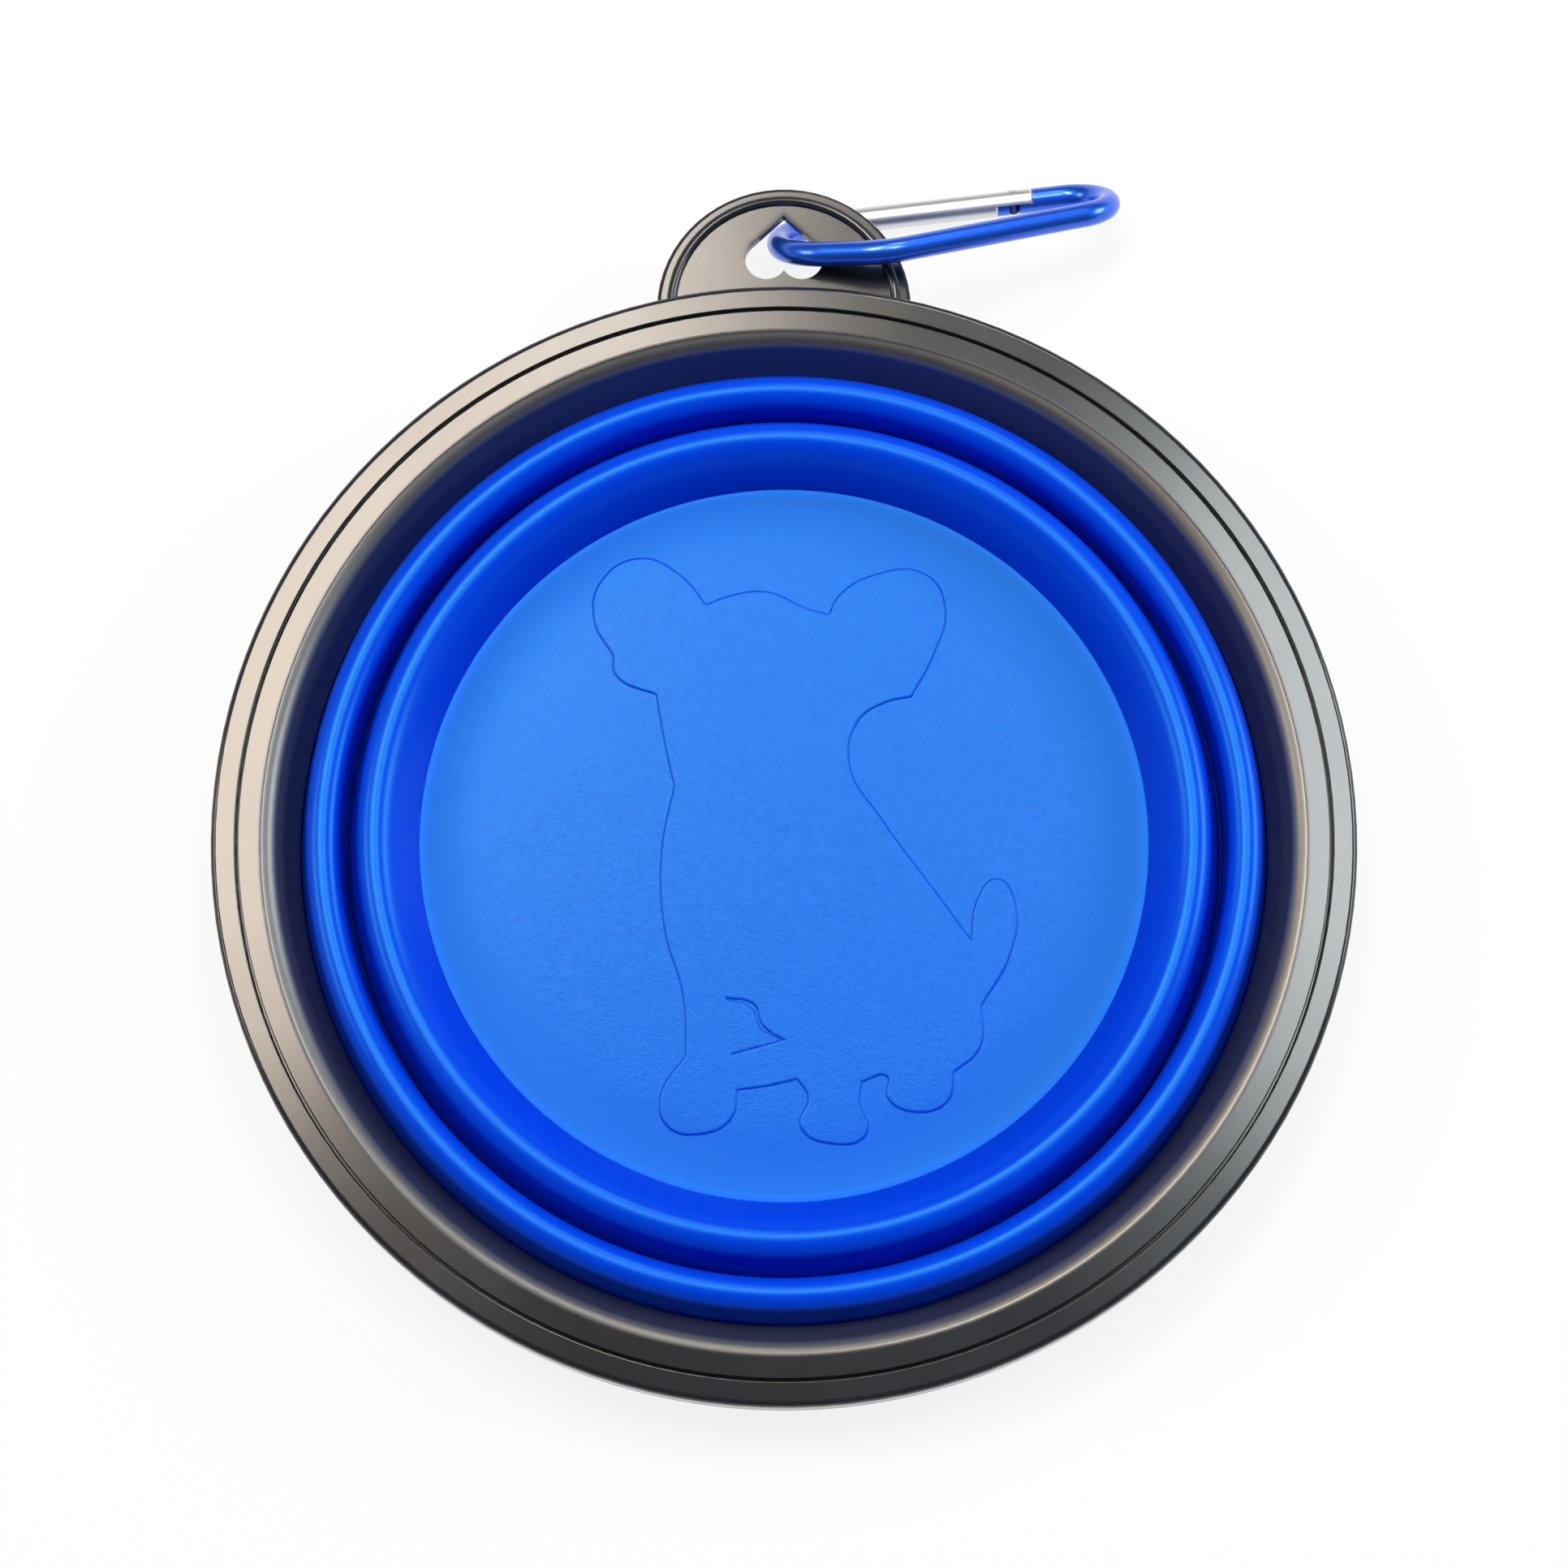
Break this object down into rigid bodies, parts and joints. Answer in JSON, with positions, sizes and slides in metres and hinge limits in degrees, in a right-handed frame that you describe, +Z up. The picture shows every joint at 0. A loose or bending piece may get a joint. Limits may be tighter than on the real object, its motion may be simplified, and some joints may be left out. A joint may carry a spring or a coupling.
{
  "type": "collapsible silicone bowl",
  "caption": "Round folding silicone travel bowl in a stiff plastic rim with a hanging tab and a small spring-gate clip, shown folded flat.",
  "frame": {"origin": "centre of the foot ring, on the surface that the bowl stands on", "axes": "+Z up out of the bowl's mouth, +Y from the bowl's centre towards the hanging tab, +X to the right, where the clip lies"},
  "size_m": [0.13, 0.1471, 0.016],
  "materials": {
    "blue_silicone": "satin food-grade silicone",
    "grey_plastic": "semi-gloss moulded",
    "blue_aluminium": "blue anodised",
    "bare_aluminium": "bright, bare",
    "steel": "plated"
  },
  "bodies": {
    "base": {"base_cup": "blue_silicone", "inner_fold_web": "blue_silicone"},
    "band": {"middle_band": "blue_silicone", "outer_fold_web": "blue_silicone"},
    "rim": {"rim_sleeve": "blue_silicone", "rim_frame": "grey_plastic", "rim_cap": "grey_plastic"},
    "clip": {"clip_body": "blue_aluminium", "hinge_pin": "steel"},
    "gate": {"clip_gate": "bare_aluminium", "latch_pin": "steel", "gate_spring": "steel", "spring_plunger": "steel"}
  },
  "joints": [
    {"name": "inner_fold", "type": "slide", "parent": "base", "child": "band", "axis": [0, 0, 1], "range_m": [0, 0.02], "deforming": ["inner_fold_web"]},
    {"name": "outer_fold", "type": "slide", "parent": "band", "child": "rim", "axis": [0, 0, 1], "range_m": [0, 0.02], "deforming": ["outer_fold_web"]},
    {"name": "clip_swing", "type": "hinge", "parent": "rim", "child": "clip", "pos_m": [0, 0.0708, 0.0093], "axis": [0, 0, 1], "range_deg": [-15, 180]},
    {"name": "gate_hinge", "type": "hinge", "parent": "clip", "child": "gate", "pos_m": [0.00804, 0.07746, 0.00155], "axis": [0.0986, -0.803, -0.5878], "range_deg": [0, 22], "stiffness_Nm_per_rad": 0.01, "springref_deg": -34.38}
  ]
}
